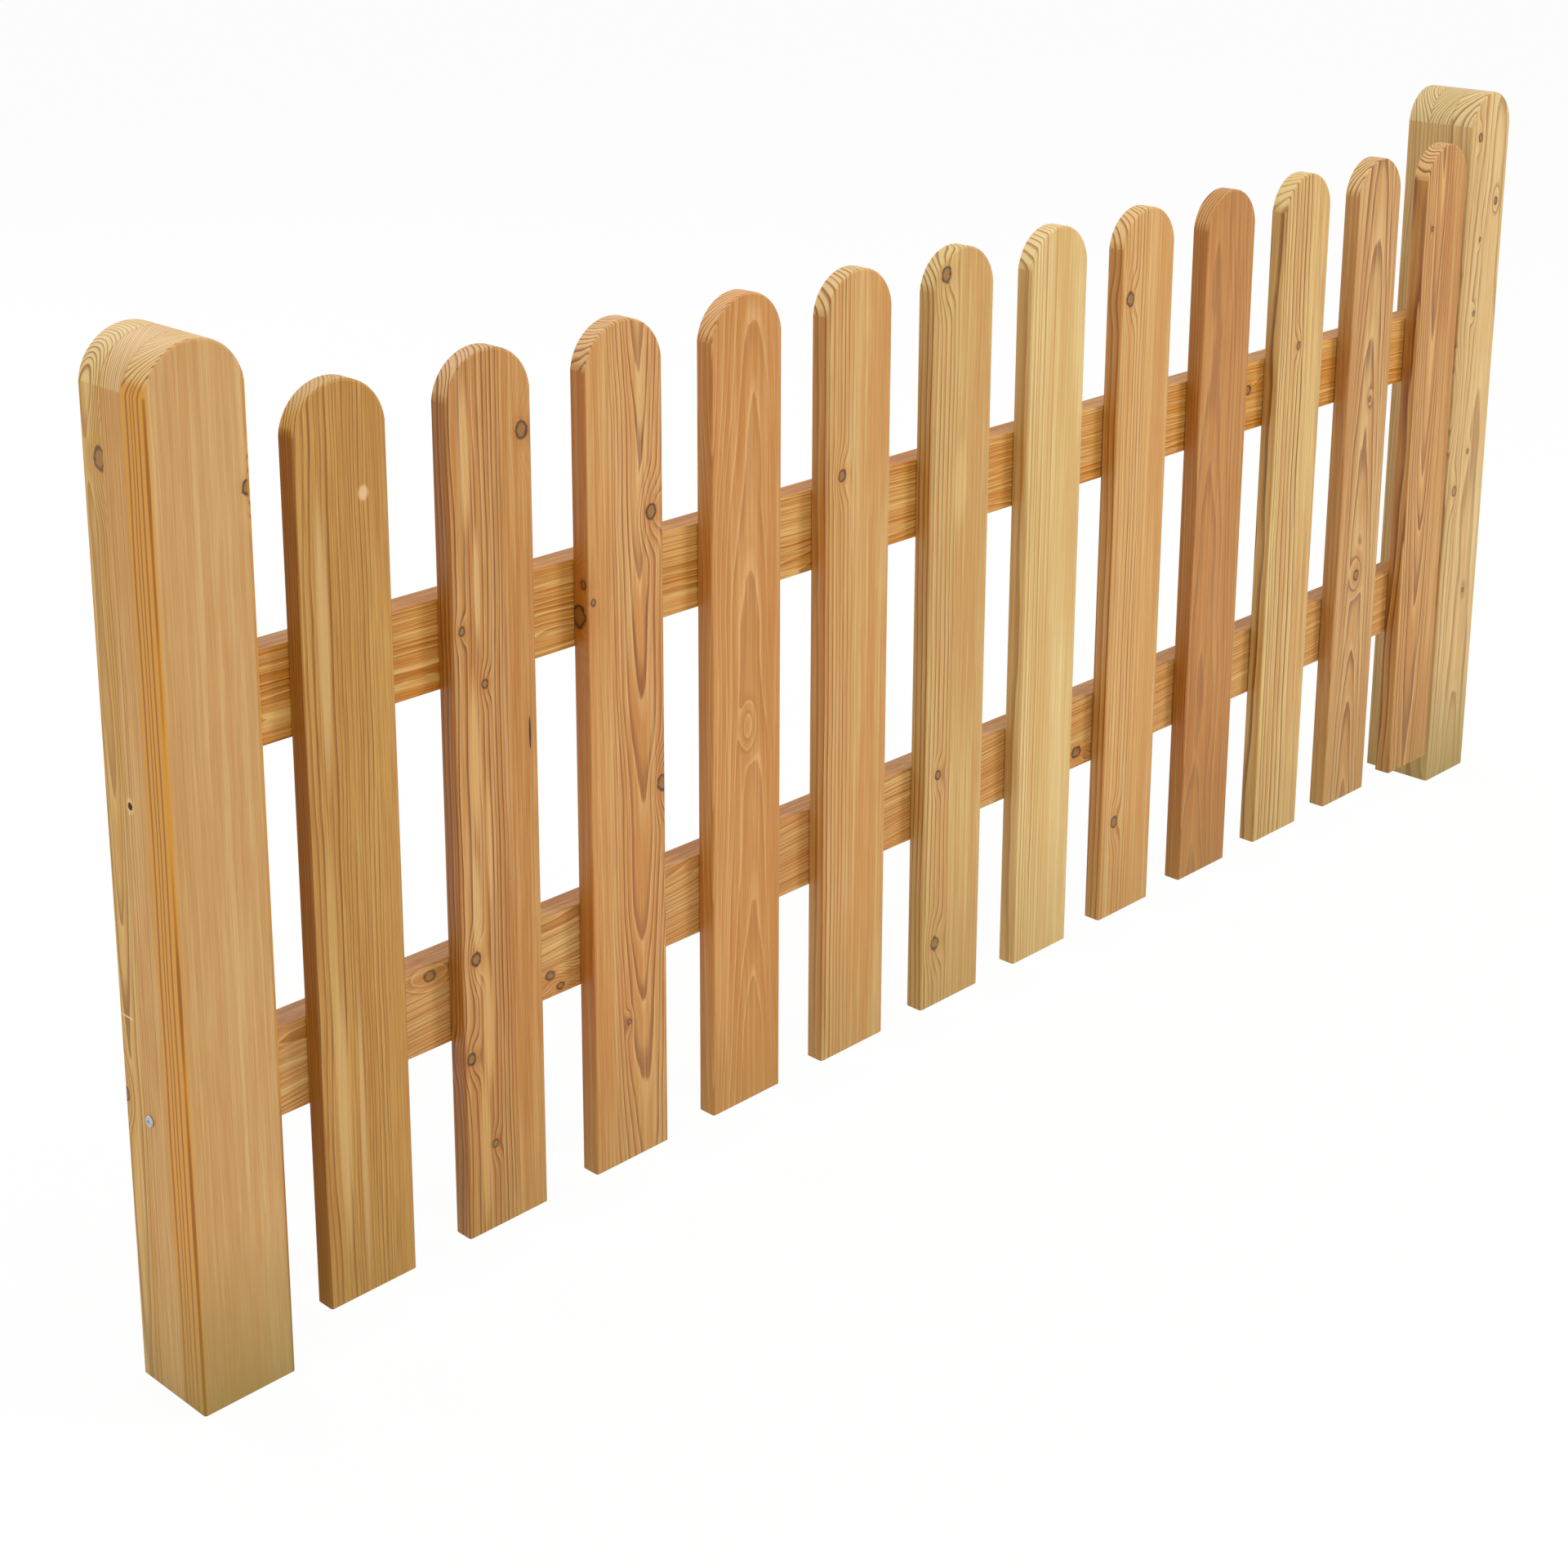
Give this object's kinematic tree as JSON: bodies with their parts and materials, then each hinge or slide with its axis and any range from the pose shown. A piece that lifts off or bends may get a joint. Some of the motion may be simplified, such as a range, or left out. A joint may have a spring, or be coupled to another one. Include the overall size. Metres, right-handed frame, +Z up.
{
  "type": "garden fence panel",
  "caption": "Larch garden fence panel: round-topped pickets on two horizontal rails, fixed between two square glued laminated posts with barrel-rounded tops",
  "frame": {"origin": "middle of the left post's foot face", "axes": "+X along the fence from the left post to the right post, +Y from the picket side to the rail side, +Z up"},
  "size_m": [1.9825, 0.104, 0.8999],
  "materials": {
    "post_front_wood": "smooth planed larch, clear oiled",
    "post_middle_wood": "smooth planed larch, clear oiled",
    "post_rear_wood": "smooth planed larch, clear oiled",
    "rail_wood": "planed larch with planer chatter",
    "zinc_steel": "zinc plated",
    "picket_01_wood": "smooth planed larch",
    "picket_02_wood": "smooth planed larch",
    "picket_03_wood": "smooth planed larch",
    "picket_04_wood": "smooth planed larch",
    "picket_05_wood": "smooth planed larch",
    "picket_06_wood": "smooth planed larch",
    "picket_07_wood": "smooth planed larch",
    "picket_08_wood": "smooth planed larch",
    "picket_09_wood": "smooth planed larch",
    "picket_10_wood": "smooth planed larch",
    "picket_11_wood": "smooth planed larch",
    "picket_12_wood": "smooth planed larch"
  },
  "bodies": {
    "root": {"left_post_front_lamella": "post_front_wood", "left_post_middle_lamella": "post_middle_wood", "left_post_rear_lamella": "post_rear_wood", "right_post_front_lamella": "post_front_wood", "right_post_middle_lamella": "post_middle_wood", "right_post_rear_lamella": "post_rear_wood", "left_post_side_screw": "zinc_steel", "bottom_rail": "rail_wood", "bottom_rail_screws": "zinc_steel", "top_rail": "rail_wood", "top_rail_screws": "zinc_steel", "picket_01": "picket_01_wood", "picket_02": "picket_02_wood", "picket_03": "picket_03_wood", "picket_04": "picket_04_wood", "picket_05": "picket_05_wood", "picket_06": "picket_06_wood", "picket_07": "picket_07_wood", "picket_08": "picket_08_wood", "picket_09": "picket_09_wood", "picket_10": "picket_10_wood", "picket_11": "picket_11_wood", "picket_12": "picket_12_wood"}
  },
  "joints": []
}
